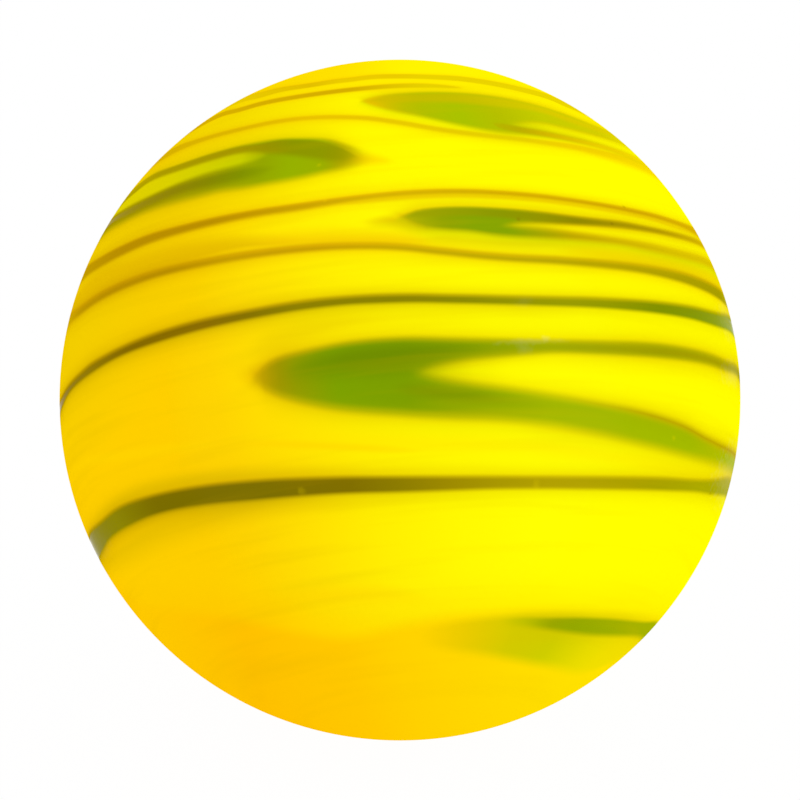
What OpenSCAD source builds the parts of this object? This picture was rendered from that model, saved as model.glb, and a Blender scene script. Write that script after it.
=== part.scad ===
// A solid glass marble: one ball of fused glass, rolled round while it was hot.

/* [Ball] */
// Diameter of the ball, that of a common playing marble
ball_d = 16; // [12:0.5:50]

/* [Hidden] */
// Facets round the ball where it is drawn as a mesh
ball_facets = 180;

// The origin is the ball's centre.
// Its green and amber strands are colour inside the one piece of glass.
// They leave no edge, groove or ridge on the polished surface, so the solid is whole.
module marble() {
    color("gold")
        sphere(d = ball_d, $fn = ball_facets);
}

marble();
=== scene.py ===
# %% [markdown]
# # A swirled glass marble
#
# The marble is one ball of opaque yellow glass, rolled round while it was hot, with strands of
# green and amber glass drawn through it. Nothing on it moves and nothing stands proud of it, so
# the whole likeness lies in three things: a true round form, the run of the strands, and the way
# polished glass answers light.
#
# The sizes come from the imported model, which gives the ball at its real diameter. This script
# adds a finer skin, the glass itself, a plain pale studio and the camera.

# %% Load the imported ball
import math

import bmesh
import bpy
from mathutils import Matrix, Vector, noise


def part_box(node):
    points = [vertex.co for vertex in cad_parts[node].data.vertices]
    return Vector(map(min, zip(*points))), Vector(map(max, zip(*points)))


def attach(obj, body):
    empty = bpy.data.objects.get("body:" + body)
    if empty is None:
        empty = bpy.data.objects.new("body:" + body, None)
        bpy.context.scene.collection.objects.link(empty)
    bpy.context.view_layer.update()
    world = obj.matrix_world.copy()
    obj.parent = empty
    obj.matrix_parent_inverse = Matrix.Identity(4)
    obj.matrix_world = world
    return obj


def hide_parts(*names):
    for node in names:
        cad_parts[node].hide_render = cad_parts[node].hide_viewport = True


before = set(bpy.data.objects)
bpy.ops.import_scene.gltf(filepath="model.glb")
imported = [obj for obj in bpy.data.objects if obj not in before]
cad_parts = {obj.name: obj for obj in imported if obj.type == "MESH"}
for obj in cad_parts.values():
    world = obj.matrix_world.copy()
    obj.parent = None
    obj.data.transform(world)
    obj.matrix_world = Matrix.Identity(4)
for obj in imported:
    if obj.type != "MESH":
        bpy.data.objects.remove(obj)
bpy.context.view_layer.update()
ball_low, ball_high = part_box("marble")
ball_radius = (ball_high.z - ball_low.z) / 2
print("ball diameter, mm:", round(ball_radius * 2000, 3))

# %% [markdown]
# ## Where the photograph was taken from
#
# A ball looks the same from every side, so the photograph fixes only how wide it appears: its
# outline is a circle of 340 pixels' radius in an 800 pixel frame. A long lens from a little above
# the table gives that circle almost without perspective. The camera's own directions, right,
# up and toward, are kept, because the strands are read off in them.

# %% The camera's directions and distance
camera_rise = math.radians(20)
camera_lens = 400
sensor_width = 36
frame_pixels = 800
disc_centre_x = 399.75
disc_centre_y = 399.2
disc_radius = 340.6

right = Vector((1, 0, 0))
toward = Vector((0, -math.cos(camera_rise), math.sin(camera_rise)))
up = toward.cross(right)

pixel_slope = sensor_width / camera_lens / frame_pixels
rim_angle = math.atan(disc_radius * pixel_slope)
camera_distance = ball_radius / math.sin(rim_angle)
print("camera distance, mm:", round(camera_distance * 1000, 1))

# %% [markdown]
# ## From a pixel to a place on the ball
#
# Each strand is described by a few points read off the photograph. A sight line through such a
# pixel meets the ball at one place, and simple triangles give the direction of that place from the
# ball's centre.
#
# The strands wind round the ball as the glass was turned, so they are nearly level in the ball's
# own turned coordinates: **turn**, how far round, and **height**, how far up, both in degrees.
# The axis of the winding leans away from the camera and a little to the left.

# %% Reading a pixel
wind_back = math.radians(12)
wind_lean = math.radians(5)
pole = (
    up * math.cos(wind_back) * math.cos(wind_lean)
    - right * math.cos(wind_back) * math.sin(wind_lean)
    - toward * math.sin(wind_back)
)
face = (toward - pole * toward.dot(pole)).normalized()
side = pole.cross(face)


def on_ball(x, y):
    """The direction from the ball's centre to what pixel (x, y) of the photograph shows."""
    across = (x - disc_centre_x) / disc_radius
    rise = (disc_centre_y - y) / disc_radius
    spread = max(math.hypot(across, rise), 1e-6)
    slant = math.atan(min(spread, 1) * disc_radius * pixel_slope)
    reach = min(camera_distance * math.sin(slant) / ball_radius, 1)
    tilt = math.asin(reach) - slant
    sideways = (right * across + up * rise) / spread
    return toward * math.cos(tilt) + sideways * math.sin(tilt)


def turn_and_height(x, y):
    """The same place in turned coordinates, in degrees."""
    place = on_ball(x, y)
    turn = math.degrees(math.atan2(place.dot(side), place.dot(face)))
    height = math.degrees(math.asin(place.dot(pole)))
    return turn, height


print("middle of the disc, turn and height:", turn_and_height(disc_centre_x, disc_centre_y))

# %% [markdown]
# ## The ball's skin
#
# A ready-made UV sphere pinches its faces together at two poles, and a globe cut from triangles
# shades unevenly. A cube whose faces are divided and pushed out to the radius keeps every face
# nearly square, so reflections run over it smoothly. Spacing the cuts by equal angles, with a
# tangent, evens the faces out further.
#
# A hot-rolled marble is not perfectly smooth. Its surface swells and dips by a few thousandths of
# a millimetre, which is real form and so goes into the mesh.

# %% Build the skin
cuts_per_side = 96
swell_height = 0.000003
swell_width = 0.004


def even_angle(step):
    """Where cut number step falls on a cube's side, from -1 to 1, so that the angles are equal."""
    return math.tan((step / cuts_per_side - 0.5) * math.pi / 2)


def skin_point(direction):
    """A point of the skin: on the ball, less a swell that never reaches past the true radius."""
    swell = noise.noise(direction * (ball_radius / swell_width)) - 1
    return direction * (ball_radius + swell * swell_height)


cube_sides = [
    (Vector((1, 0, 0)), Vector((0, 1, 0))),
    (Vector((-1, 0, 0)), Vector((0, 0, 1))),
    (Vector((0, 1, 0)), Vector((0, 0, 1))),
    (Vector((0, -1, 0)), Vector((1, 0, 0))),
    (Vector((0, 0, 1)), Vector((1, 0, 0))),
    (Vector((0, 0, -1)), Vector((0, 1, 0))),
]
cuts = range(cuts_per_side + 1)
skin = bmesh.new()
for outward, along in cube_sides:
    over = outward.cross(along)
    rows = []
    for i in cuts:
        spots = [outward + along * even_angle(i) + over * even_angle(j) for j in cuts]
        rows.append([skin.verts.new(skin_point(spot.normalized())) for spot in spots])
    for near_row, far_row in zip(rows, rows[1:]):
        for j in range(cuts_per_side):
            skin.faces.new((near_row[j], far_row[j], far_row[j + 1], near_row[j + 1]))
bmesh.ops.remove_doubles(skin, verts=skin.verts, dist=ball_radius * 1e-5)
for skin_face in skin.faces:
    skin_face.smooth = True
print("faces:", len(skin.faces), "open edges:", sum(not e.is_manifold for e in skin.edges))

ball_mesh = bpy.data.meshes.new("swirl_marble")
skin.to_mesh(ball_mesh)
skin.free()
marble = bpy.data.objects.new("swirl_marble", ball_mesh)
bpy.context.scene.collection.objects.link(marble)

# %% [markdown]
# ## Starting the glass
#
# The strands could be painted as a picture wrapped round the ball, but a picture blurs when the
# eye comes close. Here they are worked out by shader nodes at every point, so they stay sharp. A
# few small helpers keep the node work short: one adds a node, one joins or sets an input, and the
# others do a sum, lay one colour over another, and spread colours along a line.

# %% Helpers for nodes
glass = bpy.data.materials.new("swirl_glass")
glass.use_nodes = True
tree = glass.node_tree
tree.nodes.clear()


def add(kind, label="", **settings):
    """A node of this kind, with its settings."""
    made = tree.nodes.new(kind)
    made.label = label
    for name, value in settings.items():
        setattr(made, name, value)
    return made


def feed(socket, value):
    """Joins an output to an input, or sets a plain value there."""
    if isinstance(value, bpy.types.NodeSocket):
        tree.links.new(value, socket)
    else:
        socket.default_value = value


def work(operation, first, second=0.0):
    """The result of one sum with outputs or plain numbers."""
    made = add("ShaderNodeMath", operation=operation)
    feed(made.inputs[0], first)
    feed(made.inputs[1], second)
    return made.outputs[0]


def blend(amount, under, over):
    """One colour laid over another by an amount from 0 to 1."""
    made = add("ShaderNodeMix", data_type="RGBA")
    feed(made.inputs[0], amount)
    feed(made.inputs[6], under)
    feed(made.inputs[7], over)
    return made.outputs[2]


def ramp(value, stops, label=""):
    """Smooth change through (place, colour) stops, with places from 0 to 1."""
    made = add("ShaderNodeValToRGB", label)
    feed(made.inputs["Fac"], value)
    elements = made.color_ramp.elements
    for place, colour in stops[1:-1]:
        elements.new(place).color = colour
    elements[0].position, elements[0].color = stops[0]
    elements[-1].position, elements[-1].color = stops[-1]
    return made.outputs["Color"]


# %% [markdown]
# ## Turn and height in the shader
#
# The shader needs the same turned coordinates that the pixels were read in. The direction of the
# shaded point from the ball's centre is measured against the three axes of the winding with dot
# products, and an arctangent and an arcsine turn those into angles. Both are scaled to run from 0
# to 1, which is what curves and ramps take.

# %% Turned coordinates
from_centre = add("ShaderNodeVectorMath", "direction from the centre", operation="NORMALIZE")
feed(from_centre.inputs[0], add("ShaderNodeTexCoord").outputs["Object"])


def along_axis(axis, label):
    """How far the shaded point lies along an axis, from -1 to 1."""
    made = add("ShaderNodeVectorMath", label, operation="DOT_PRODUCT")
    feed(made.inputs[0], from_centre.outputs[0])
    feed(made.inputs[1], axis)
    return made.outputs["Value"]


to_side = along_axis(side, "to the side")
to_face = along_axis(face, "to the face")
to_pole = along_axis(pole, "to the pole")
turn = work("ADD", work("DIVIDE", work("ARCTAN2", to_side, to_face), 2 * math.pi), 0.5)
height = work("ADD", work("DIVIDE", work("ARCSINE", to_pole), math.pi), 0.5)
pixel_of_height = math.degrees(1 / disc_radius) / 180
print("one pixel is", round(math.degrees(1 / disc_radius), 3), "degrees")

# %% [markdown]
# ## The colours of the glass
#
# The maker had only a few glasses: a yellow that covers the ball, a green and an amber. Where
# green or amber lies thick it looks dark, and where it thins out over the yellow it turns to lime,
# honey or gold. Each shade is written as the eye reads it, from 0 to 255 for red, green and blue,
# and turned into the linear values that a shader takes. The shades are taken as they are seen in
# the light from the right, so painted shade is in them too: the body, the hazes and the strands are
# laid darker toward the left and lower left, on top of their own changes of colour.


# %% Name the shades
def shade(red, green, blue=0):
    """A shade as the eye reads it, in linear values."""
    linear = []
    for level in (red, green, blue):
        part = level / 255
        linear.append(part / 12.92 if part <= 0.04045 else ((part + 0.055) / 1.055) ** 2.4)
    return (*linear, 1.0)


lemon = shade(255, 252)
yellow = shade(255, 246)
warm_yellow = shade(255, 236)
gold = shade(255, 223)
deep_gold = shade(254, 210)
orange_gold = shade(253, 205)

straw = shade(247, 220)
honey = shade(233, 203)
light_amber = shade(212, 173)
amber = shade(201, 158)
burnt_amber = shade(184, 141)
bronze = shade(170, 152)
umber = shade(121, 107)
brown = shade(135, 106)
dark_olive = shade(139, 131)
khaki = shade(165, 155)
olive = shade(146, 150)
moss = shade(170, 156)
fir = shade(130, 149)

deep_leaf = shade(107, 137)
leaf = shade(131, 161)
bright_leaf = shade(161, 184)
lime = shade(172, 191)
pale_lime = shade(206, 204)

# %% [markdown]
# ## The yellow body
#
# The body is not one flat yellow. It runs from gold at the lower left to lemon at the right: this
# is painted shade, the fall of the light from the right laid into the colour. A ramp along one
# direction through the ball gives that, and it holds from every side, because the direction belongs
# to the ball. Toward the upper left rim the yellow is laid a little duller, as painted shade on the
# side away from the light.

# %% Lay the body
# Painted shade: the body's yellow is laid darker and more orange away from the light at the right.
lit_side_axis = (right * 0.97 + up * 0.24).normalized()
toward_lit_side = work("ADD", work("MULTIPLY", along_axis(lit_side_axis, "gold to lemon"), 0.5), 0.5)
body_and_shade_stops = [
    (0.0, orange_gold),
    (0.18, orange_gold),
    (0.25, deep_gold),
    (0.34, gold),
    (0.43, warm_yellow),
    (0.54, yellow),
    (0.66, lemon),
    (1.0, lemon),
]
glass_so_far = ramp(toward_lit_side, body_and_shade_stops, "yellow body")

# Painted shade: the upper left rim, away from the light, is laid duller.
shaded_left_axis = (up * 0.6 - right * 0.8).normalized()
shaded_left = add("ShaderNodeMapRange", "duller side")
feed(shaded_left.inputs["Value"], along_axis(shaded_left_axis, "toward the dull side"))
feed(shaded_left.inputs["From Min"], 0.56)
feed(shaded_left.inputs["From Max"], 0.9)
feed(shaded_left.inputs["To Max"], 0.5)
glass_so_far = blend(shaded_left.outputs["Result"], glass_so_far, shade(226, 203))

# %% [markdown]
# ## How a strand is laid
#
# A strand is the space between two edges. Each edge is a curve of height against turn, drawn
# through the points read off, and carried level round the back of the ball. A point is inside the
# strand when it is below the top edge and above the bottom edge. Each edge has its own softness,
# because a strand that dips under clear glass has a blurred edge there.
#
# Where a strand ends in a tip, its top edge passes below its bottom edge, and nothing is left
# between them.
#
# Colour also bleeds out of a strand into the yellow round it, strongly at the edge and less and
# less further off. That is the strand's haze, and it has one colour above the strand and another
# below it. A tongue between two arms fills with haze in the same way from its own edges. Along an
# upper edge the glass turns brown or amber in a narrow fringe. The node group works all of this
# out for one pair of edges.

# %% The strand's node group
strand_group = bpy.data.node_groups.new("between two edges", "ShaderNodeTree")
for name in ("Height", "Top", "Bottom", "Top softness", "Bottom softness", "Reach"):
    strand_group.interface.new_socket(name, in_out="INPUT", socket_type="NodeSocketFloat")
for name in ("Inside", "Haze above", "Haze below", "Upper fringe", "Lower fringe", "Haze in a tongue"):
    strand_group.interface.new_socket(name, in_out="OUTPUT", socket_type="NodeSocketFloat")


def past_edge(distance, softness, label):
    """0 outside an edge, 1 inside it, with a soft change between."""
    made = add("ShaderNodeMapRange", label, interpolation_type="SMOOTHSTEP")
    feed(made.inputs["Value"], distance)
    feed(made.inputs["From Min"], work("MULTIPLY", softness, -1.0))
    feed(made.inputs["From Max"], softness)
    return made.outputs["Result"]


def fading(distance, reach):
    """1 at no distance, less and less at negative distances."""
    return work("EXPONENT", work("DIVIDE", distance, reach))


tree = strand_group
given = add("NodeGroupInput").outputs
below_top = work("SUBTRACT", given["Top"], given["Height"])
above_bottom = work("SUBTRACT", given["Height"], given["Bottom"])
top_part = past_edge(below_top, given["Top softness"], "below the top edge")
bottom_part = past_edge(above_bottom, given["Bottom softness"], "above the bottom edge")
haze_above = fading(work("MINIMUM", below_top, 0.0), given["Reach"])
haze_below = fading(work("MINIMUM", above_bottom, 0.0), given["Reach"])
depth = work("MAXIMUM", work("MINIMUM", below_top, above_bottom), 0.0)
fringe_width = work("MULTIPLY", given["Reach"], -0.35)
found = add("NodeGroupOutput")
feed(found.inputs["Inside"], work("MULTIPLY", top_part, bottom_part))
feed(found.inputs["Haze above"], work("MULTIPLY", haze_above, bottom_part))
past_bottom = work("MULTIPLY", top_part, work("SUBTRACT", 1.0, bottom_part))
feed(found.inputs["Haze below"], work("MULTIPLY", haze_below, past_bottom))
at_top = fading(work("ABSOLUTE", below_top), fringe_width)
feed(found.inputs["Upper fringe"], work("MULTIPLY", at_top, bottom_part))
at_bottom = fading(work("ABSOLUTE", above_bottom), fringe_width)
feed(found.inputs["Lower fringe"], work("MULTIPLY", at_bottom, top_part))
feed(found.inputs["Haze in a tongue"], fading(depth, work("MULTIPLY", given["Reach"], -1.0)))
tree = glass.node_tree

# %% Helpers that lay strands
level_from = 160
# These hazes and fringes are laid darker toward the lower left: partly their own colour, partly painted shade from the
# light at the right.
above_stops = [(0.15, shade(198, 160)), (0.35, shade(206, 164)), (0.5, shade(218, 182)), (0.65, shade(222, 186)),
               (0.85, shade(222, 186))]
below_stops = [(0.15, shade(188, 155)), (0.35, shade(190, 162)), (0.5, shade(202, 176)), (0.65, shade(214, 188)),
               (0.85, shade(212, 187))]
brown_stops = [(0.2, shade(165, 114)), (0.5, shade(165, 120)), (0.85, shade(170, 132))]
strand_hues = (ramp(toward_lit_side, above_stops, "haze above"), ramp(toward_lit_side, below_stops, "haze below"),
               ramp(toward_lit_side, brown_stops, "brown fringe"))
amber_stops = [(0.15, shade(200, 153)), (0.35, shade(228, 178)), (0.5, shade(238, 186)), (0.8, shade(234, 192))]
fringe_stops = [(0.2, shade(200, 143)), (0.5, shade(222, 160)), (0.8, shade(205, 150))]
amber_haze = ramp(toward_lit_side, amber_stops, "amber haze")
thread_hues = (amber_haze, amber_haze, ramp(toward_lit_side, fringe_stops, "amber fringe"))


def edge(name, seen, left, right_end):
    """The height of an edge at each turn: through the pixels seen, then level behind the ball."""
    stations = [(-180, left), (-level_from, left)]
    stations += [turn_and_height(x, y) for x, y in seen]
    stations += [(level_from, right_end), (180, right_end)]
    spots = [(t / 360 + 0.5, h / 180 + 0.5) for t, h in stations]
    made = add("ShaderNodeFloatCurve", name)
    feed(made.inputs["Value"], turn)
    points = made.mapping.curves[0].points
    points[0].location = spots[0]
    points[1].location = spots[-1]
    for spot in spots[1:-1]:
        points.new(*spot)
    for point in points:
        point.handle_type = "AUTO"
    made.mapping.update()
    return made.outputs[0]


def strand(name, top, bottom, left, right_end):
    """A strand's two edges. left and right_end are its top and bottom heights behind the ball."""
    top_edge = edge(name + ", top", top, left[0], right_end[0])
    bottom_edge = edge(name + ", bottom", bottom, left[1], right_end[1])
    return top_edge, bottom_edge


def thread(name, spine, left, right_end):
    """A thin strand from (x, y, thickness) along its middle, and (height, thickness) behind."""
    top = [(x, y - thick / 2) for x, y, thick in spine]
    bottom = [(x, y + thick / 2) for x, y, thick in spine]
    ends = []
    for middle, thick in (left, right_end):
        half = math.degrees(thick / 2 / disc_radius)
        ends.append((middle + half, middle - half))
    return strand(name, top, bottom, *ends)


def between(edges, soft, reach=8):
    """The strand group at two edges, with softness and reach of haze in pixels."""
    made = add("ShaderNodeGroup", node_tree=strand_group)
    feed(made.inputs["Height"], height)
    feed(made.inputs["Top"], edges[0])
    feed(made.inputs["Bottom"], edges[1])
    feed(made.inputs["Top softness"], soft[0] * pixel_of_height)
    feed(made.inputs["Bottom softness"], soft[1] * pixel_of_height)
    feed(made.inputs["Reach"], reach * pixel_of_height)
    return made.outputs


def less(inside, hollow):
    """What is left of a strand once its hollow is taken out."""
    return work("MULTIPLY", inside, work("SUBTRACT", 1.0, hollow))


# Stops along a strand are shades as seen: where a strand lightens toward the right, that is partly painted shade from
# the light at the right, as well as its own change of colour.
def tint(name, row, stops):
    """Colour along a strand that runs near pixel row, from (x, shade) stops."""
    places = [(turn_and_height(x, row)[0] / 360 + 0.5, colour) for x, colour in stops]
    first, last = places[0][1], places[-1][1]
    behind = 0.5 - level_from / 360
    return ramp(turn, [(0.0, last), (behind, first), *places, (1.0, last)], name)


def share(name, row, stops):
    """A share from 0 to 1 that changes along pixel row, from (x, share) stops.

    It is read from the ramp's alpha, which is a plain number already.
    """
    return tint(name, row, [(x, (part, part, part, part)) for x, part in stops]).node.outputs["Alpha"]


def lay(under, inside, colour, strength=1.0):
    """The glass so far with more glass laid over it."""
    return blend(work("MULTIPLY", inside, strength), under, colour)


def lay_strand(under, edges, colour, soft=(3, 3), hues=strand_hues, amounts=(0.62, 0.62, 0.4), reach=8):
    """A strand with haze above it, haze below it and a fringe, in that order in hues and amounts."""
    found = between(edges, soft, reach)
    hazy = lay(under, found["Haze above"], hues[0], amounts[0])
    hazy = lay(hazy, found["Haze below"], hues[1], amounts[1])
    laid = lay(hazy, found["Inside"], colour)
    return lay(laid, found["Upper fringe"], hues[2], amounts[2])


def lay_loop(under, outer, tongue, colour, soft=(5, 5), clear=1.0, fade=1.0, hues=strand_hues,
             amounts=(0.62, 0.62, 0.4), reach=8):
    """A strand folded back on itself: its outer shape less the tongue between its arms.

    clear is how far the tongue is free of the strand's own colour, and fade is how far the strand
    is there at all, both from 0 to 1.
    """
    whole = between(outer, soft, reach)
    hollow = between(tongue, soft, reach)
    hazy = lay(under, work("MULTIPLY", whole["Haze above"], hollow["Haze in a tongue"]), hues[0], amounts[0])
    hazy = lay(hazy, whole["Haze below"], hues[1], amounts[1])
    body = less(whole["Inside"], work("MULTIPLY", hollow["Inside"], clear))
    laid = lay(hazy, body, colour, fade)
    return lay(laid, work("MULTIPLY", whole["Upper fringe"], fade), hues[2], amounts[2])


# %% [markdown]
# ## The gold underside
#
# Below a soft line the yellow turns to orange gold, as if a second wrap of glass were laid there.
# It is laid first, as everything else runs over it. The yellow warms a little before the line.

# %% Gold underside
underside_top = edge(
    "gold underside",
    [(115, 596), (150, 606), (200, 613), (250, 622), (300, 633), (350, 637), (400, 625), (450, 616),
     (520, 612), (600, 613), (655, 622)],
    -46,
    -46,
)
below_line = work("SUBTRACT", underside_top, height)
# The gold lightens toward the right: painted shade, following the body's fall of light.
underside_stops = [
    (0.06, shade(253, 200)),
    (0.2, shade(254, 192)),
    (0.34, shade(255, 200)),
    (0.41, shade(255, 208)),
    (0.55, shade(255, 218)),
    (0.69, shade(254, 226)),
]
underside_colour = ramp(toward_lit_side, underside_stops, "gold underside")
approach = past_edge(work("ADD", below_line, 26 * pixel_of_height), 34 * pixel_of_height, "warming")
glass_so_far = lay(glass_so_far, approach, underside_colour, 0.42)
underside = past_edge(below_line, 13 * pixel_of_height, "below the line")
glass_so_far = lay(glass_so_far, underside, underside_colour)

# %% [markdown]
# ## Veils of amber
#
# Between the strands, thin veils of amber glass warm the yellow without hiding it. They have no
# hard edge anywhere, so each is a broad strand with a long softness, laid at part strength.

# %% Amber veils
crown = past_edge(
    work("SUBTRACT", height, edge("crown", [(240, 101), (320, 83), (400, 75), (480, 79), (568, 104)], 56, 56)),
    5 * pixel_of_height,
    "above the top thread",
)
crown_share = share("crown", 80, [(250, 0.6), (340, 0.6), (400, 0.3), (568, 0.35)])
glass_so_far = lay(glass_so_far, work("MULTIPLY", crown, crown_share), shade(253, 212))
bare_glass = glass_so_far

veils = [
    ("veil under the crown", gold, 0.4, (5, 5), (50, 10), (54, 10),
     [(240, 106, 10), (300, 92, 14), (340, 85, 14), (400, 84, 18), (460, 88, 16), (520, 97, 12), (570, 112, 10)]),
    ("veil at the upper right", shade(253, 218), 0.5, (5, 5), (36, -8), (36, 8),
     [(520, 136, -6), (560, 142, 4), (600, 151, 11), (630, 160, 13), (655, 170, 13)]),
    ("veil at the right", shade(244, 214), 0.7, (7, 7), (15, -8), (15, 10),
     [(540, 250, -6), (580, 250, 8), (620, 255, 14), (660, 263, 16), (700, 275, 18), (718, 287, 18)]),
    ("veil at the left", shade(226, 182), 0.75, (10, 3), (16, 10), (16, -8),
     [(70, 310, 16), (100, 282, 24), (130, 269, 22), (160, 258, 20), (200, 248, 17), (240, 242, 10),
      (280, 241, 4), (320, 241, -8)]),
    ("glow over the lower thread", shade(248, 206), 0.6, (10, 4), (16, -8), (16, -8),
     [(240, 244, -4), (270, 240, 8), (310, 237, 12), (360, 236, 12), (410, 238, 10), (450, 245, -8)]),
    ("dim glass over the great loop", shade(226, 192), 0.28, (10, 8), (0, -8), (0, -8),
     [(235, 358, 4), (270, 343, 20), (310, 329, 18), (350, 322, 8), (390, 320, -4), (420, 320, -12)]),
    ("bloom at the great loop's tip", shade(224, 172), 0.72, (12, 12), (0, -8), (0, -8),
     [(228, 376, -12), (245, 376, 4), (260, 376, 16), (280, 377, 24), (300, 377, 8), (320, 377, -12)]),
    ("bloom at the left loop's tip", shade(196, 182), 0.7, (9, 9), (33, -8), (33, -8),
     [(312, 156, -10), (328, 156, 14), (344, 156, 19), (355, 157, 13), (367, 158, 0), (382, 158, -12)]),
    ("glow past the left loop's tip", shade(248, 204), 0.6, (7, 7), (33, -8), (33, -8),
     [(335, 157, -2), (350, 158, 8), (362, 158.5, 11), (376, 159, 8), (389, 160, 2), (402, 161, -8)]),
    ("bloom before the right loop's tip", shade(216, 178), 0.68, (6, 8), (22, -8), (22, -8),
     [(352, 221, -8), (370, 221, 2), (385, 220, 8), (400, 220.5, 12), (420, 226, 7), (450, 230, -8)]),
    ("veil under the right loop", shade(224, 196), 0.48, (7, 6), (19, -8), (19, -8),
     [(410, 239, -8), (435, 238, 5), (470, 240, 8), (510, 242.5, 8), (550, 243.5, 7), (590, 245, 2), (625, 249, -6)]),
    ("deeper yellow under the great loop", shade(255, 222), 0.36, (10, 10), (-12, -8), (-16, -8),
     [(215, 440, -4), (260, 441, 8), (330, 442, 12), (420, 443, 14), (500, 444, 13), (580, 451, 12),
      (650, 462, 8), (700, 471, 5), (728, 476, 0)]),
    ("deeper yellow low down", shade(254, 204), 0.34, (12, 14), (-35, -8), (-35, -8),
     [(260, 602, -10), (300, 597, 8), (345, 594, 16), (390, 594, 12), (450, 600, -10)]),
    ("veil below the band", shade(222, 184), 0.5, (8, 16), (-24, 4), (-22, -8),
     [(103, 566, 12), (125, 552, 22), (160, 533, 26), (210, 517, 20), (270, 505, 9), (330, 500, 0), (390, 498, -12)]),
    ("veil above the band", shade(212, 180), 0.55, (10, 8), (-19, 4), (-20, -8),
     [(92, 534, 6), (110, 508, 10), (150, 488, 10), (220, 477, 8), (300, 472, 4), (360, 470, -2), (420, 470, -8)]),
    ("streak below the great loop", deep_gold, 0.7, (5, 5), (-12, 4), (-14, -8),
     [(80, 464, 6), (130, 454, 10), (190, 446, 8), (250, 443, 6), (340, 446, 4), (400, 449, 1), (440, 450, -8)]),
]
for name, colour, strength, soft, left, right_end, spine in veils:
    veil = thread(name, spine, left, right_end)
    glass_so_far = lay(glass_so_far, between(veil, soft)["Inside"], colour, strength)

# %% [markdown]
# ## The broad band
#
# The widest strand goes right round below the middle. At the left it dips and widens, and it
# thins and lightens to the right.

# %% Broad band
broad_band = strand(
    "broad band",
    top=[(89, 534), (100, 521.5), (120, 506), (150, 495.4), (200, 485.5), (260, 479.5), (330, 476.6),
         (420, 475.9), (500, 475.9), (550, 476), (600, 476.2), (660, 477), (700, 479.3), (731, 480)],
    bottom=[(100, 562), (103, 550), (110, 538.5), (130, 525), (160, 513), (200, 505.2), (260, 499.2), (330, 493.6),
            (420, 490.9), (500, 488.3), (550, 488), (600, 488.5), (660, 489.7), (700, 491.7), (710, 493.4),
            (728, 499)],
    left=(-20, -22),
    right_end=(-20, -22),
)
band_stops = [(105, dark_olive), (150, umber), (270, umber), (310, shade(124, 107)), (350, shade(125, 107)),
              (400, shade(137, 121)), (450, shade(154, 135)), (500, shade(165, 148)), (550, shade(175, 157)),
              (620, shade(171, 158)), (660, shade(163, 158)), (700, shade(162, 165))]
band_tint = tint("broad band", 490, band_stops)
haze_under_band = share("haze under the band", 490, [(100, 0.9), (250, 0.95), (300, 0.75), (400, 0.6), (480, 0.45), (700, 0.5)])
glass_so_far = lay_strand(glass_so_far, broad_band, band_tint, soft=(3.6, 3.2),
                          amounts=(0.6, haze_under_band, 0.15))

# %% [markdown]
# ## The great loop
#
# A strand that was folded back on itself shows as a loop with a round, blurred tip. Its two arms
# run off to the right with a tongue of yellow between them. A loop is its outer shape less its
# tongue. The green lies thickest near the upper edge, so a dark vein runs through it there, and
# another through the lower arm. The upper arm turns olive as it thins.

# %% Great loop
great_outer = strand(
    "great loop",
    top=[(248, 384), (255, 376), (262, 368), (270, 362), (284, 356), (300, 352), (320, 347.6),
         (345, 342.9), (400, 338), (450, 338.4), (500, 339.7), (550, 340.9), (600, 342.1), (650, 343.9),
         (680, 347.6), (710, 354.8), (725, 361), (738, 369)],
    bottom=[(248, 370), (255, 377.5), (262, 385.4), (270, 390), (284, 395.6), (310, 402.2), (345, 408.1),
            (400, 412.6), (450, 415.8), (500, 418.2), (550, 423.7), (600, 433), (650, 444.7), (700, 458.1),
            (731, 469.6)],
    left=(-8, -3),
    right_end=(-8, -10.5),
)
great_tongue = strand(
    "great loop's tongue",
    top=[(404, 378), (412, 372.5), (420, 369), (432, 364), (453, 359.6), (489, 355.2), (550, 350.5), (600, 351.8),
         (650, 354.7), (700, 360.6), (712, 363.6), (722, 367.4), (738, 375.6)],
    bottom=[(404, 366), (412, 371), (420, 374), (432, 377.4), (453, 380.8), (477, 384), (520, 389.6),
            (560, 396), (600, 403.6), (640, 411.8), (680, 424.2), (710, 440), (735, 455)],
    left=(-8, -3),
    right_end=(-9.8, -8.8),
)
loop_stops = [(257, shade(196, 162)), (265, shade(174, 150)), (278, shade(155, 145)), (296, shade(141, 150)),
              (335, shade(121, 157)), (405, shade(121, 154)), (450, shade(138, 161)), (500, shade(149, 171)),
              (550, shade(159, 180)), (695, shade(161, 183)), (722, shade(176, 188))]
loop_tint = tint("great loop", 380, loop_stops)
tongue_clear = share("tongue clears", 372, [(408, 0.1), (420, 0.35), (432, 0.5), (450, 0.72), (475, 0.9), (510, 1.0)])
haze_over_loop = share("haze over the great loop", 340, [(300, 0.75), (450, 0.7), (550, 0.6), (620, 0.8), (735, 0.95)])
tip_fade = share("great loop's tip", 377, [(244, 0.0), (253, 0.38), (262, 0.8), (274, 1.0)])
glass_so_far = lay_loop(glass_so_far, great_outer, great_tongue, loop_tint, soft=(6, 7.5), clear=tongue_clear,
                        fade=tip_fade, amounts=(haze_over_loop, 0.75, 0.08), reach=9)

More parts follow.
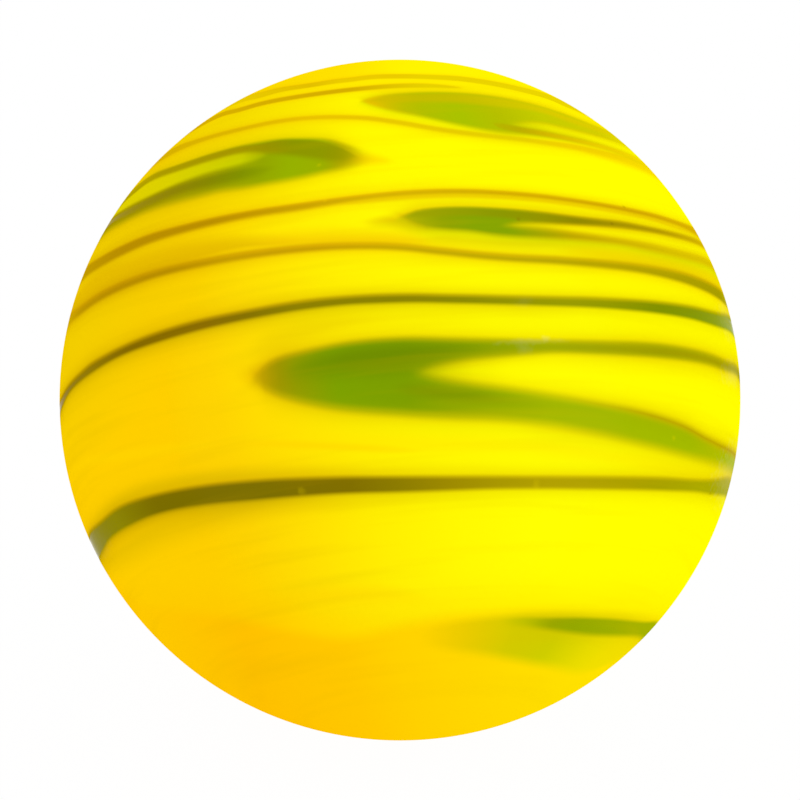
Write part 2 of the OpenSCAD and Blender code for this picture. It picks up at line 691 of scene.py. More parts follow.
upper_vein = thread(
    "great loop's upper vein",
    [(268, 374, -20), (285, 371, 2), (310, 366, 17), (350, 360, 25), (390, 357, 27), (430, 353, 20),
     (470, 349, 10), (520, 347, 3), (560, 347, -8)],
    left=(-2, -20),
    right_end=(-8, -20),
)
upper_vein_share = share("upper vein", 360, [(275, 0.3), (300, 0.65), (345, 0.95), (440, 1.0)])
glass_so_far = lay(glass_so_far, between(upper_vein, (9, 14))["Inside"], deep_leaf, upper_vein_share)
lower_vein = thread(
    "great loop's lower vein",
    [(380, 384, -14), (405, 388, 6), (450, 393, 9), (480, 396, 9), (520, 401, 6), (560, 407, 3),
     (600, 411, 1), (640, 422, 1), (680, 436, 1), (720, 455, 1)],
    left=(-2, -20),
    right_end=(-8, -20),
)
vein_share = share("lower vein", 400, [(400, 0.5), (435, 0.85), (470, 0.8), (510, 0.4), (560, 0.15), (720, 0.15)])
glass_so_far = lay(glass_so_far, between(lower_vein, (8, 8))["Inside"], shade(118, 140), vein_share)

lower_margin = between(great_outer, (6, 14), 12)["Lower fringe"]
margin_share = share("great loop's lower margin", 405, [(262, 0.1), (285, 0.5), (420, 0.6), (500, 0.3), (560, 0.0)])
margin_place = work("MULTIPLY", between(great_outer, (6, 7.5))["Inside"], lower_margin)
glass_so_far = lay(glass_so_far, work("MULTIPLY", margin_place, margin_share), shade(168, 176))

upper_arm = between((great_outer[0], great_tongue[0]), (5, 4))["Inside"]
upper_arm_share = share("upper arm", 350, [(470, 0.0), (520, 0.6), (570, 1.0), (738, 1.0)])
upper_arm_tint = tint("upper arm", 350, [(510, shade(149, 160)), (560, shade(155, 163)), (610, shade(157, 157)),
                                         (660, shade(156, 153)), (710, shade(165, 155))])
glass_so_far = lay(glass_so_far, work("MULTIPLY", upper_arm, upper_arm_share), upper_arm_tint)

arm_fringe = work("MULTIPLY", between(great_outer, (6, 5))["Inside"], between(great_tongue, (5, 5))["Lower fringe"])
fringe_share = share("fringe on the lower arm", 400, [(560, 0.0), (610, 0.16), (655, 0.5), (735, 0.55)])
glass_so_far = lay(glass_so_far, work("MULTIPLY", arm_fringe, fringe_share), strand_hues[2])

# %% [markdown]
# ## The dark line
#
# One strand of even width crosses above the great loop from rim to rim, brown at the left and
# green at the right.

# %% Dark line
dark_line = strand(
    "dark line",
    top=[(61, 397.5), (70, 382.5), (80, 372.3), (90, 363.6), (105, 354.7), (120, 347), (160, 331),
         (200, 319.5), (250, 309.2), (300, 300.6), (350, 295.5), (400, 293.5), (460, 294.4), (530, 296),
         (600, 297.6), (650, 300.6),
         (690, 305.6), (715, 311.6), (731, 318.3)],
    bottom=[(61.5, 407.5), (70, 391), (90, 373.3), (120, 355.6), (160, 340.8), (200, 329.4), (250, 318.4),
            (300, 309.6), (325, 306.4), (350, 304), (380, 302.7), (400, 302.1), (420, 301.9), (460, 302.7),
            (530, 304.5), (600, 307.2), (650, 311.6),
            (690, 318), (715, 325.3), (732, 333)],
    left=(6.3, 4.8),
    right_end=(6.3, 4.8),
)
line_stops = [(90, shade(145, 121)), (130, shade(128, 102)), (205, shade(133, 104)), (250, shade(127, 110)),
              (295, shade(136, 124)), (420, shade(133, 128)), (500, shade(135, 139)), (560, shade(136, 146)),
              (610, shade(134, 146)), (655, shade(122, 140)), (700, fir), (725, shade(145, 162))]
line_tint = tint("dark line", 310, line_stops)
haze_over_line = share("haze over the dark line", 310, [(80, 0.65), (200, 0.6), (320, 0.55), (480, 0.6), (700, 0.5)])
haze_under_line = share("haze under the dark line", 310, [(80, 0.75), (520, 0.75), (580, 0.45), (700, 0.45)])
glass_so_far = lay_strand(glass_so_far, dark_line, line_tint, soft=(3.8, 2.9), amounts=(haze_over_line, haze_under_line, 0.25))

# %% [markdown]
# ## The threads
#
# Thin threads of amber glass run nearly level above the dark line. The lower, the third and the top
# thread pass right round the ball, and the lowest turns olive at the right.

# %% Amber threads
lower_thread = thread(
    "lower thread",
    [(69, 321, 6), (80, 310, 7), (100, 296, 7), (130, 282, 7), (160, 272, 7), (200, 262.8, 7), (250, 254.2, 6.5),
     (300, 248.3, 6.3), (350, 245.5, 5.8), (400, 246.6, 5.9), (440, 250.8, 5.9), (500, 256.7, 5.9),
     (560, 260.2, 6.4), (600, 263.4, 7.2), (640, 268, 7.8), (680, 276.3, 9.6), (710, 287.7, 10.4), (725, 299, 9.6)],
    left=(14, 7),
    right_end=(14, 7),
)
lower_stops = [(72, shade(208, 172)), (95, shade(186, 146)), (120, shade(181, 139)), (170, shade(181, 139)), (230, shade(196, 153)), (320, shade(197, 154)),
               (400, shade(194, 163)), (500, shade(181, 160)), (610, shade(175, 157)), (680, shade(165, 152)),
               (708, shade(162, 153)), (722, shade(186, 176))]
lower_tint = tint("lower thread", 260, lower_stops)
glass_so_far = lay_strand(glass_so_far, lower_thread, lower_tint, soft=(4.2, 3.2), hues=thread_hues,
                          amounts=(0.7, 0.65, 0.3), reach=7)

upper_thread = thread(
    "upper thread",
    [(83, 274.3, 8.5), (100, 261.4, 9), (120, 250.5, 9), (150, 237.7, 8.4), (180, 228.8, 7.5), (220, 219.2, 7),
     (260, 211.7, 6.5), (300, 206, 6.5), (340, 199.9, 5.5), (380, 195, 5), (420, 191.9, 4.8), (460, 191, 4.5),
     (500, 192.5, 4.3), (540, 195.9, 4.2), (580, 201.2, 4), (620, 208, 4.3), (650, 214.6, 4.6), (680, 223.8, 4.6),
     (695, 231.2, 5)],
    left=(21, 6),
    right_end=(33, 5),
)
upper_stops = [(85, shade(208, 172)), (105, shade(192, 153)), (140, shade(182, 139)), (210, shade(183, 140)), (300, amber),
               (380, light_amber), (480, shade(208, 168)), (620, amber), (690, light_amber)]
upper_tint = tint("upper thread", 210, upper_stops)
glass_so_far = lay_strand(glass_so_far, upper_thread, upper_tint, soft=(2.7, 3.6), hues=thread_hues,
                          amounts=(0.65, 0.6, 0.25), reach=5)

partner = thread(
    "upper thread's partner",
    [(325, 205.5, -3), (355, 202, 2), (380, 199.3, 3.2), (420, 196.2, 3.2), (460, 195.2, 2.8), (500, 196.6, 2.8),
     (540, 199.9, 2.8), (580, 205.2, 3), (620, 212, 3), (650, 218.2, 3), (680, 228, 2), (700, 236, -3)],
    left=(18, -8),
    right_end=(28, -8),
)
glass_so_far = lay(glass_so_far, between(partner, (2.4, 2.4))["Inside"], shade(229, 190), 0.6)

third_thread = thread(
    "third thread",
    [(171, 151.2, 5), (200, 139.4, 3.8), (240, 128.5, 3.6), (280, 120.3, 3.6), (310, 117.1, 3.6), (350, 116.6, 3.8),
     (370, 117.8, 4), (400, 122, 4.2), (440, 128.8, 4.2), (480, 134.1, 4), (520, 138.5, 4), (560, 144.2, 4),
     (580, 147.5, 4), (600, 152, 4), (640, 164.5, 4.5), (654, 172, 4.5)],
    left=(43.2, 4),
    right_end=(43.2, 4),
)
third_stops = [(180, light_amber), (240, shade(219, 181)), (300, shade(230, 191)), (400, shade(230, 198)),
               (500, shade(229, 204)), (560, shade(240, 206)), (610, straw)]
third_tint = tint("third thread", 130, third_stops)
glass_so_far = lay_strand(glass_so_far, third_thread, third_tint, soft=(2.6, 2.6), hues=thread_hues,
                          amounts=(0.4, 0.5, 0.15), reach=6)

second_thread = thread(
    "second thread",
    [(196, 126.3, 4), (220, 114.2, 4), (240, 108.7, 4), (260, 103, 4), (300, 95.5, 4), (325, 91.9, 4), (350, 88.9, 4),
     (400, 85, 4), (430, 85, 3.4), (455, 86.5, 1), (475, 88, -4)],
    left=(50, 4),
    right_end=(55, -8),
)
second_stops = [(210, light_amber), (350, shade(209, 170)), (390, shade(219, 190)), (430, shade(228, 208))]
second_tint = tint("second thread", 90, second_stops)
glass_so_far = lay_strand(glass_so_far, second_thread, second_tint, soft=(2.6, 2.6), hues=thread_hues,
                          amounts=(0.4, 0.3, 0.2), reach=5)

top_thread = thread(
    "top thread",
    [(242, 98.6, 5), (260, 94.2, 5), (280, 89, 4.3), (310, 84.4, 4), (335, 80.6, 4), (350, 78.9, 4),
     (370, 76.4, 4), (400, 75.5, 4), (430, 76.2, 4), (460, 78, 4.4), (480, 80.7, 4.4), (500, 84.2, 4.4),
     (520, 88.6, 4.4), (550, 97, 4.5), (568, 104.5, 5)],
    left=(57, 4),
    right_end=(57, 4),
)
top_stops = [(250, honey), (310, shade(223, 188)), (340, shade(232, 201)), (400, shade(231, 200)),
             (430, shade(230, 207)), (550, shade(230, 211))]
top_tint = tint("top thread", 85, top_stops)
glass_so_far = lay_strand(glass_so_far, top_thread, top_tint, soft=(2.8, 2.6), hues=thread_hues,
                          amounts=(0.4, 0.25, 0.2), reach=5)

# %% [markdown]
# ## The small loops
#
# Three smaller loops lie among the threads. Two open to the right and one to the left, and their
# arms run on round the back as threads. In each, a darker fold follows one edge.

# %% Left loop
left_outer = strand(
    "left loop",
    top=[(136, 187), (150, 175.5), (180, 163.8), (220, 150.4), (250, 143.1), (280, 138.6), (303, 137.9),
         (315, 138), (325, 138.7), (335, 140.6), (345, 143.6), (360, 147.6), (375, 152), (385, 158)],
    bottom=[(104, 233.5), (120, 222.8), (150, 209), (180, 200), (200, 195), (220, 190), (240, 187.2),
            (260, 183.6), (300, 176.5), (325, 170.9), (335, 169), (345, 167), (360, 164), (375, 160), (385, 154)],
    left=(33.5, 26),
    right_end=(32, 38),
)
left_tongue = strand(
    "left loop's tongue",
    top=[(134, 192.5), (150, 180.3), (180, 168.7), (210, 159), (240, 151.3), (258, 149.8), (275, 156)],
    bottom=[(108, 219.8), (120, 211), (130, 204.5), (150, 194.6), (180, 181.2), (210, 170.8), (240, 163.3),
            (258, 158.3), (275, 150)],
    left=(32.4, 28),
    right_end=(32, 38),
)
left_stops = [(120, shade(172, 155)), (180, shade(166, 154)), (210, shade(162, 157)), (240, shade(155, 162)),
              (262, shade(146, 163)), (290, shade(148, 174)), (320, shade(151, 172)), (345, khaki)]
left_tint = tint("left loop", 165, left_stops)
tongue_stops = [(135, shade(224, 206)), (170, shade(217, 206)), (210, pale_lime), (245, shade(195, 202))]
left_tongue_tint = tint("left loop's tongue", 175, tongue_stops)
left_whole = between(left_outer, (5, 7))
left_hollow = between(left_tongue, (4, 5))
left_clear = share("left tongue clears", 160, [(240, 1.0), (256, 0.5), (270, 0.1), (280, 0.0)])
left_tip = share("left tip fades", 155, [(329, 1.0), (339, 0.88), (348, 0.6), (356, 0.32), (364, 0.13), (375, 0.0)])
glass_so_far = lay(glass_so_far, work("MULTIPLY", left_whole["Haze above"], left_tip), shade(206, 184), 0.65)
glass_so_far = lay(glass_so_far, work("MULTIPLY", left_whole["Haze below"], left_tip), strand_hues[1], 0.5)
left_colour = blend(work("MULTIPLY", left_hollow["Inside"], left_clear), left_tint, left_tongue_tint)
glass_so_far = lay(glass_so_far, left_whole["Inside"], left_colour, left_tip)

left_fold = thread(
    "left loop's upper fold",
    [(137, 186.2, 3.5), (150, 177.8, 4.5), (180, 166.2, 5.5), (210, 156.6, 6), (240, 149, 6.5), (260, 147.3, 8.5),
     (280, 146.3, 14), (300, 147.3, 17), (320, 149.5, 18), (335, 152.5, 15), (345, 154.5, 11), (355, 156, 3),
     (367, 157, -8)],
    left=(33, 4),
    right_end=(35, -8),
)
fold_stops = [(140, shade(190, 168)), (170, bronze), (235, shade(163, 147)), (262, shade(148, 143)),
              (290, shade(138, 147)), (320, shade(140, 149)), (340, shade(147, 147))]
fold_tint = tint("upper fold", 160, fold_stops)
fold_share = work("MULTIPLY", between(left_fold, (3, 6))["Inside"], left_tip)
glass_so_far = lay(glass_so_far, fold_share, fold_tint)
left_under = thread(
    "left loop's lower fold",
    [(108, 223.5, 6), (130, 210.3, 7.5), (150, 200.5, 8), (180, 188.5, 9), (210, 180.5, 11), (240, 173.7, 11.5),
     (260, 170, 8), (285, 164, -6)],
    left=(27, 4),
    right_end=(30, -8),
)
under_stops = [(130, shade(160, 139)), (155, shade(149, 133)), (180, shade(139, 129)), (210, shade(132, 133)),
               (240, shade(128, 143)), (265, shade(139, 158))]
under_tint = tint("lower fold", 180, under_stops)
glass_so_far = lay(glass_so_far, between(left_under, (5, 7))["Inside"], under_tint)

# %% Right loop
right_outer = strand(
    "right loop",
    top=[(388, 222), (396, 218.6), (402, 215.6), (408, 212.9), (416, 210.4), (428, 208.4), (440, 207.4), (460, 206.7), (500, 208.2),
         (540, 211.5), (580, 216.3), (620, 221), (650, 227), (680, 233.7), (704, 244.3)],
    bottom=[(388, 211), (396, 214.5), (402, 217.5), (408, 220.4), (416, 223.6), (425, 226.4), (440, 228.3),
            (470, 230.5), (500, 234.6), (540, 237.2), (570, 238.7), (600, 241.2), (620, 243.6), (650, 249.8),
            (680, 256.8), (712, 267.8)],
    left=(19, 22),
    right_end=(28, 20.4),
)
right_tongue = strand(
    "right loop's tongue",
    top=[(487, 231), (497, 226.5), (507, 223.4), (518, 221.9), (540, 221.7), (570, 223.3), (600, 225.3), (620, 227.1),
         (650, 231), (680, 237.5), (705, 247.6)],
    bottom=[(487, 219), (497, 223), (507, 225.4), (518, 226.9), (540, 228.6), (570, 231.7), (600, 235.7), (620, 238.7),
            (650, 243.8), (680, 250.8), (711, 262.4)],
    left=(19, 22),
    right_end=(26, 21.6),
)
right_stops = [(396, shade(205, 188)), (410, shade(176, 172)), (425, shade(158, 166)), (445, shade(140, 158)),
               (475, shade(130, 160)), (510, shade(131, 160)), (540, shade(161, 161)), (570, shade(186, 162)),
               (620, shade(200, 173)), (660, shade(209, 186)), (700, shade(218, 192))]
right_tint = tint("right loop", 225, right_stops)
right_clear = share("right tongue clears", 225, [(494, 0.1), (508, 0.42), (522, 0.62), (545, 0.72), (575, 1.0)])
lime_hues = (strand_hues[0], shade(194, 194), strand_hues[2])
glass_so_far = lay_loop(glass_so_far, right_outer, right_tongue, right_tint, soft=(3.6, 4.5), clear=right_clear,
                        hues=lime_hues, amounts=(0.8, 0.85, 0.05), reach=8)
right_fold = thread(
    "right loop's upper fold",
    [(402, 216.5, -3), (412, 214.3, 4), (430, 212.2, 7), (460, 211, 7.5), (500, 212.6, 8), (540, 216.4, 8.8),
     (570, 219.4, 7.4), (600, 222, 5.8), (620, 223.9, 5.3), (650, 228.8, 4.4), (680, 235.5, 3.9),
     (704, 245.8, 3.9)],
    left=(24, -8),
    right_end=(27, 4),
)
right_fold_stops = [(420, shade(155, 159)), (460, shade(145, 154)), (500, shade(137, 147)), (545, shade(144, 143)),
                    (575, shade(137, 131)), (620, shade(160, 140)), (655, shade(172, 144)), (700, shade(216, 182))]
right_fold_tint = tint("right upper fold", 220, right_fold_stops)
glass_so_far = lay(glass_so_far, between(right_fold, (3.4, 3.2))["Inside"], right_fold_tint, 0.95)

# %% Top loop
top_outer = strand(
    "top loop",
    top=[(354, 104), (366, 99), (380, 95.3), (410, 92.3), (450, 92), (490, 95.3), (530, 103), (560, 112),
         (590, 123.6), (604, 129.2)],
    bottom=[(354, 97), (366, 102), (380, 106.5), (390, 109.2), (420, 115.2), (460, 124), (500, 131.2),
            (530, 134.2), (560, 138), (600, 146.3), (641, 162)],
    left=(52, 56),
    right_end=(51, 42.8),
)
top_tongue = strand(
    "top loop's tongue",
    top=[(500, 127), (508, 123.6), (518, 121), (540, 121), (560, 125.3), (580, 130.2), (600, 135.5), (618, 141)],
    bottom=[(500, 118), (508, 122), (518, 126), (540, 130), (560, 134.3), (580, 138.7), (600, 144.5), (638, 159.5)],
    left=(52, 56),
    right_end=(49.5, 43.6),
)
top_loop_stops = [(372, shade(228, 190)), (388, shade(206, 188)), (405, shade(186, 187)), (425, shade(173, 187)),
                  (460, shade(166, 190)), (500, shade(178, 187)), (540, shade(192, 199)), (580, shade(208, 202)),
                  (610, shade(228, 218))]
top_loop_tint = tint("top loop", 115, top_loop_stops)
top_clear = share("top tongue clears", 122, [(512, 0.25), (530, 0.55), (548, 0.74), (580, 0.95)])
top_hues = (shade(216, 192), shade(204, 210), strand_hues[2])
top_glow = share("glow under the top loop", 125, [(380, 0.75), (500, 0.6), (540, 0.25), (640, 0.1)])
glass_so_far = lay_loop(glass_so_far, top_outer, top_tongue, top_loop_tint, soft=(5.2, 6), clear=top_clear,
                        hues=top_hues, amounts=(0.85, top_glow, 0.0), reach=8)
top_fold = thread(
    "top loop's upper fold",
    [(366, 100, 0), (385, 98.5, 6), (420, 97, 8), (460, 97.5, 9), (500, 102, 8), (540, 109, 5), (580, 122.8, 4),
     (604, 130.5, 3)],
    left=(54, -8),
    right_end=(50, -8),
)
top_fold_stops = [(385, shade(205, 185)), (420, shade(195, 184)), (460, shade(196, 185)), (500, shade(203, 193)),
                  (540, shade(215, 198)), (580, shade(221, 202))]
top_fold_tint = tint("top upper fold", 105, top_fold_stops)
glass_so_far = lay(glass_so_far, between(top_fold, (3.5, 6))["Inside"], top_fold_tint, 0.85)
top_under = thread(
    "top loop's lower fold",
    [(486, 121, -4), (500, 124.8, 5), (515, 128, 5.5), (540, 132.2, 5), (560, 136, 4.5), (580, 140.5, 4),
     (600, 145.3, 3.4), (640, 160.5, 2.5)],
    left=(54, -8),
    right_end=(43, -8),
)
top_under_stops = [(500, shade(178, 176)), (520, shade(182, 168)), (542, shade(206, 176)), (580, shade(228, 197)), (620, straw)]
top_under_tint = tint("top lower fold", 130, top_under_stops)
glass_so_far = lay(glass_so_far, between(top_under, (3.4, 3))["Inside"], top_under_tint, 0.9)

# %% [markdown]
# ## The low loop
#
# Under the band, at the right, only the end of a loop shows: a pale lobe sunk in the yellow, and
# one dark arm that runs off over the rim.

# %% Low loop
low_lobe = strand(
    "low loop's lobe",
    top=[(405, 640), (420, 631), (450, 622), (480, 617.5), (520, 614), (560, 613), (600, 614), (648, 618)],
    bottom=[(405, 634), (420, 643), (450, 649.5), (480, 653), (520, 660), (550, 665.5), (580, 672), (600, 675),
            (620, 674)],
    left=(-54, -50),
    right_end=(-48, -50),
)
lobe_share = share("lobe", 645, [(415, 0.0), (430, 0.13), (450, 0.35), (480, 0.66), (508, 0.93), (550, 1.0),
                                 (570, 0.8), (590, 0.55), (612, 0.35), (640, 0.2)])
lobe_tint = tint("lobe colour", 645, [(430, shade(208, 178)), (460, shade(206, 186)), (500, shade(206, 198)), (540, shade(205, 202)),
                                        (570, shade(206, 207)), (600, shade(206, 213))])
lobe_inside = work("MULTIPLY", between(low_lobe, (8, 11))["Inside"], lobe_share)
glass_so_far = lay(glass_so_far, lobe_inside, lobe_tint)
low_arm = strand(
    "low loop's arm",
    top=[(488, 624), (498, 620), (510, 618), (550, 617.5), (580, 617.2), (600, 617.8), (640, 621), (656, 624)],
    bottom=[(488, 617), (498, 621), (510, 624), (520, 625), (550, 628.9), (580, 633.2), (600, 634.8), (641, 637.5)],
    left=(-54, -50),
    right_end=(-48, -44),
)
low_stops = [(520, shade(175, 185)), (550, shade(152, 164)), (575, shade(147, 166)), (600, shade(153, 170)), (640, shade(164, 176))]
low_tint = tint("low loop's arm", 625, low_stops)
low_share = share("low arm fades in", 622, [(500, 0.0), (520, 0.5), (540, 0.9), (555, 1.0)])
low_found = between(low_arm, (3.4, 5.5))
glass_so_far = lay(glass_so_far, work("MULTIPLY", low_found["Haze above"], low_share), strand_hues[0], 0.3)
glass_so_far = lay(glass_so_far, work("MULTIPLY", low_found["Haze below"], low_share), strand_hues[1], 0.4)
glass_so_far = lay(glass_so_far, work("MULTIPLY", low_found["Inside"], low_share), low_tint)

# %% [markdown]
# ## Behind the ball
#
# The turn starts and ends straight behind the ball. Strands with no partner on the far side sink
# into the yellow there, and the five that run right round are laid on again.

# %% Closing behind
behind = ramp(turn, [(0.0, (1.0,) * 4), (0.012, (1.0,) * 4), (0.09, (0.0,) * 4), (0.91, (0.0,) * 4),
                     (0.988, (1.0,) * 4), (1.0, (1.0,) * 4)], "behind").node.outputs["Alpha"]
glass_so_far = blend(behind, glass_so_far, bare_glass)
round_strands = [
    ("top thread", 57, 4, shade(230, 211)),
    ("third thread", 43.2, 4, straw),
    ("lower thread", 14, 7, shade(186, 176)),
    ("dark line", 5.55, 9, shade(145, 162)),
    ("broad band", -21, 12, shade(162, 165)),
]
for name, middle, thickness, colour in round_strands:
    half = math.degrees(thickness / 2 / disc_radius)
    edges = ((middle + half) / 180 + 0.5, (middle - half) / 180 + 0.5)
    closing = work("MULTIPLY", between(edges, (3.5, 3.5))["Inside"], behind)
    glass_so_far = lay(glass_so_far, closing, colour)

# %% [markdown]
# ## Streaks and marks
#
# The winding drew fine streaks out along the turn of the glass, so a noise stretched far along
# the turn and tight across it darkens and lightens the colour by a little.
#
# A used marble has marks: small scuffs that scatter white, specks and pits. Some pale patches are
# painted light instead: a glint beside the long scuff, a glint on the left loop, and a pale sheen
# at the right and left rims, a painted reflection where the dark strands catch the white round the
# ball. Each is a soft ellipse set on the ball. A mapping node lays the shaded point into the
# ellipse's own measure, where its outline is one unit from the centre.

# %% Flow streaks
streak_place = add("ShaderNodeCombineXYZ")
for name, way, tightness in (("X", to_side, 1.5), ("Y", to_face, 1.5), ("Z", to_pole, 26)):
    feed(streak_place.inputs[name], work("MULTIPLY", way, tightness))
streaks = add("ShaderNodeTexNoise", "flow streaks")
feed(streaks.inputs["Vector"], streak_place.outputs[0])
feed(streaks.inputs["Scale"], 1.0)
feed(streaks.inputs["Detail"], 2.0)
streak_share = add("ShaderNodeMapRange", "only the denser streaks")
feed(streak_share.inputs["Value"], streaks.outputs["Fac"])
feed(streak_share.inputs["From Min"], 0.5)
feed(streak_share.inputs["From Max"], 0.75)
feed(streak_share.inputs["To Max"], 0.12)
glass_so_far = blend(streak_share.outputs["Result"], glass_so_far, strand_hues[0])

# %% Scuffs, specks and pits
grain = add("ShaderNodeTexNoise", "ragged outlines")
feed(grain.inputs["Vector"], from_centre.outputs[0])
feed(grain.inputs["Scale"], 60.0)
feed(grain.inputs["Detail"], 1.0)
ragged = work("MULTIPLY", work("SUBTRACT", grain.outputs["Fac"], 0.5), 2.0)


def mark(x, y, long, wide, slope=0.0):
    """How far each point is inside a soft ellipse: long and wide in pixels, slope in degrees."""
    centre = on_ball(x, y)
    swing = math.radians(slope)
    lengthwise = on_ball(x + math.cos(swing), y - math.sin(swing)) - centre
    lengthwise = (lengthwise - centre * lengthwise.dot(centre)).normalized()
    crosswise = centre.cross(lengthwise)
    axes = Matrix((lengthwise, crosswise, centre)).transposed()
    made = add("ShaderNodeMapping", "mark", vector_type="TEXTURE")
    feed(made.inputs["Vector"], from_centre.outputs[0])
    feed(made.inputs["Location"], centre)
    feed(made.inputs["Rotation"], axes.to_euler())
    feed(made.inputs["Scale"], (long / 2 / disc_radius, wide / 2 / disc_radius, 1.0))
    away = add("ShaderNodeVectorMath", operation="LENGTH")
    feed(away.inputs[0], made.outputs[0])
    return past_edge(work("SUBTRACT", 1.0, work("ADD", away.outputs["Value"], ragged)), 0.9, "mark")


# Pale film for the scuffs, also used for painted reflection at the rims and a painted glint.
white_film_and_rim_sheen = shade(235, 238, 225)
scuffs_and_rim_sheen = [
    (530, 340.5, 50, 4.5, 2, 0.035),
    # Painted highlight: a glint beside the long scuff.
    (546, 337.5, 7, 5, 0, 0.05),
    (523, 347, 14, 9, -20, 0.025),
    (524, 301, 14, 8, 0, 0.01),
    # Painted reflection: the next four are pale sheen where dark strands meet the right and left rims.
    (730, 474, 90, 44, 0, 0.07),
    (728, 320, 60, 26, 0, 0.045),
    (733, 372, 60, 18, 0, 0.05),
    (98, 542, 60, 24, 25, 0.012),
]
pale_specks_and_glint = [
    (301, 490.5, 6, 6, 0, 0.12),
    (536, 485, 6, 9, 0, 0.12),
    # Painted highlight: a light glint on the left loop's core.
    (319, 164, 4, 4, 0, 0.2),
    (325, 199, 4, 4, 0, 0.2),
    (674, 437, 5, 4, 0, 0.2),
]
dark_marks = [
    (518, 218, 3.5, 3.5, 0, 0.4),
    (624, 206, 4, 3, 0, 0.35),
    (612, 223, 4, 3, 0, 0.35),
    (710, 493, 5, 3, 0, 0.35),
]
scuffs_and_sheen = 0.0
for marks, colour in ((scuffs_and_rim_sheen, white_film_and_rim_sheen), (pale_specks_and_glint, straw), (dark_marks, brown)):
    for x, y, long, wide, slope, strength in marks:
        covered = work("MULTIPLY", mark(x, y, long, wide, slope), strength)
        glass_so_far = blend(covered, glass_so_far, colour)
        scuffs_and_sheen = work("MAXIMUM", scuffs_and_sheen, covered)

# %% [markdown]
# ## The polished surface
#
# Glass mirrors a little light where it is looked at straight on, and much more at its rim. In the
# photograph's flat light the ball shows no bright spot, its rim stays yellow, and only the dark
# strands turn grey at the very edge. Here the studio is white all round, and full gloss would lay
# a pale veil over the rim. So the mirror light fades from the middle outward by the angle of
# view, which Layer Weight gives, and only a trace of it is left on the dark strands.
#
# The glass is yellow for some way down, which warms what it mirrors: the specular tint is yellow.
# Scuffs, and the patches of painted rim sheen, are rougher than the polish round them.

# %% Surface of the glass
middle_gloss = 0.1
strand_gloss = 0.018
fade_from, fade_to = 0.08, 0.3
dark_below = 0.36
polish, scuff_roughness = 0.06, 0.5

facing = add("ShaderNodeLayerWeight")
fade = add("ShaderNodeMapRange", "gloss fades outward", interpolation_type="SMOOTHSTEP")
feed(fade.inputs["Value"], facing.outputs["Facing"])
feed(fade.inputs["From Min"], fade_from)
feed(fade.inputs["From Max"], fade_to)
feed(fade.inputs["To Min"], middle_gloss)
feed(fade.inputs["To Max"], 0.0)
parts = add("ShaderNodeSeparateColor")
feed(parts.inputs["Color"], glass_so_far)
darkness = work("SUBTRACT", dark_below, parts.outputs["Red"])
gloss = work("MAXIMUM", fade.outputs["Result"], work("MULTIPLY", darkness, strand_gloss))

surface = add("ShaderNodeBsdfPrincipled", "polished glass")
feed(surface.inputs["Base Color"], glass_so_far)
feed(surface.inputs["Specular IOR Level"], gloss)
feed(surface.inputs["Roughness"], work("ADD", work("MULTIPLY", scuffs_and_sheen, scuff_roughness), polish))
surface.inputs["IOR"].default_value = 1.5
surface.inputs["Specular Tint"].default_value = (1.0, 0.9, 0.05, 1.0)
feed(add("ShaderNodeOutputMaterial").inputs["Surface"], surface.outputs[0])

marble.data.materials.append(glass)
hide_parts("marble")
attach(marble, "root")

# %% [markdown]
# ## A plain pale studio
#
# The photograph shows the ball in even light on pure white. A white world gives that even light
# from every side, and one broad lamp to the right of the camera lifts that side a little. The
# floor is white too, and glows like a light table, which keeps it as bright as the backdrop,
# lights the underside of the ball and leaves only a faint shadow.

# %% World, floor and lamp
world = bpy.data.worlds.new("white studio")
bpy.context.scene.world = world
world.use_nodes = True
world_light = world.node_tree.nodes["Background"]
world_light.inputs["Color"].default_value = (1, 1, 1, 1)
world_light.inputs["Strength"].default_value = 1.03

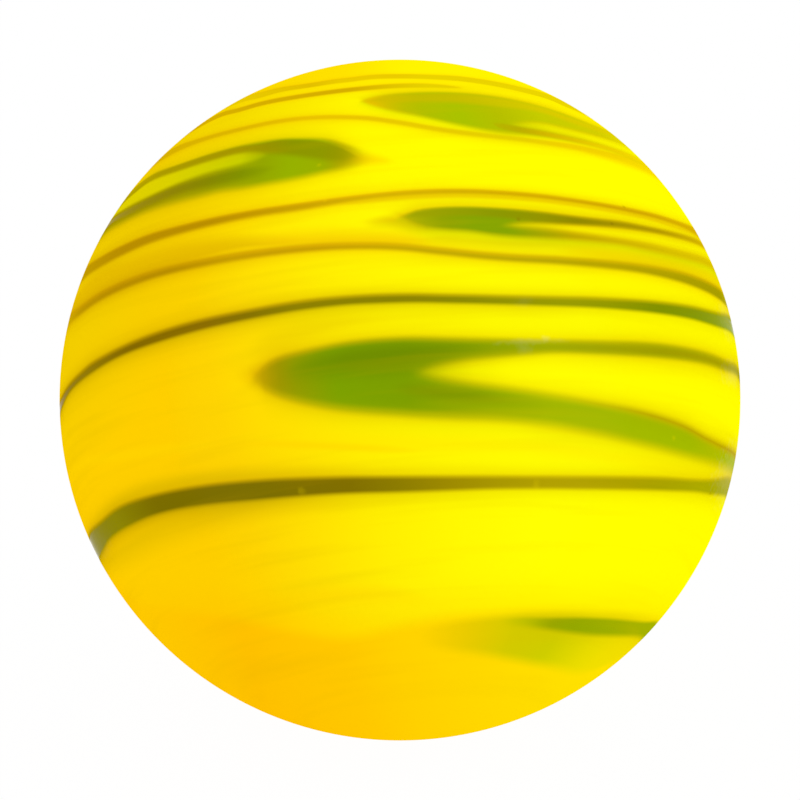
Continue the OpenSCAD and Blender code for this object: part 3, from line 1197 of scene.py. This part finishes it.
floor_radius = 0.35
floor_steps = 96
floor_shape = bmesh.new()
bmesh.ops.create_circle(floor_shape, cap_ends=True, segments=floor_steps, radius=floor_radius)
floor_mesh = bpy.data.meshes.new("studio_floor")
floor_shape.to_mesh(floor_mesh)
floor_shape.free()
floor = bpy.data.objects.new("studio_floor", floor_mesh)
floor.location.z = ball_low.z
bpy.context.scene.collection.objects.link(floor)

paper = bpy.data.materials.new("white paper")
paper.use_nodes = True
tree = paper.node_tree
tree.nodes.clear()
paper_white = 0.98
backdrop_share = 0.98
lit_paper = add("ShaderNodeBsdfDiffuse")
feed(lit_paper.inputs["Color"], (paper_white, paper_white, paper_white, 1))
plain_white = add("ShaderNodeEmission")
paper_mix = add("ShaderNodeMixShader")
feed(paper_mix.inputs[0], backdrop_share)
feed(paper_mix.inputs[1], lit_paper.outputs[0])
feed(paper_mix.inputs[2], plain_white.outputs[0])
feed(add("ShaderNodeOutputMaterial").inputs["Surface"], paper_mix.outputs[0])
floor.data.materials.append(paper)

lamp_place = (right * 0.8 + toward * 0.5 + up * 0.5).normalized() * 0.15
lamp_size = 0.12
lamp_power = 0.008
lamp_data = bpy.data.lights.new("side softbox", "AREA")
lamp_data.size = lamp_size
lamp_data.energy = lamp_power
lamp = bpy.data.objects.new("side softbox", lamp_data)
lamp.location = lamp_place
lamp.rotation_mode = "QUATERNION"
lamp.rotation_quaternion = lamp_place.to_track_quat("Z", "Y")
lamp.visible_glossy = False
bpy.context.scene.collection.objects.link(lamp)

# %% [markdown]
# ## The camera
#
# The camera looks at the ball's centre from the direction that the strands were read in, at the
# distance that gives the ball its width in the photograph.

# %% Camera and picture settings
camera_data = bpy.data.cameras.new("camera")
camera_data.lens = camera_lens
camera_data.sensor_width = sensor_width
camera_data.clip_start = ball_radius
camera_data.clip_end = camera_distance * 10
camera = bpy.data.objects.new("camera", camera_data)
camera.location = toward * camera_distance
camera.rotation_mode = "QUATERNION"
camera.rotation_quaternion = toward.to_track_quat("Z", "Y")
bpy.context.scene.collection.objects.link(camera)
bpy.context.scene.camera = camera
bpy.context.scene.view_settings.view_transform = "Standard"
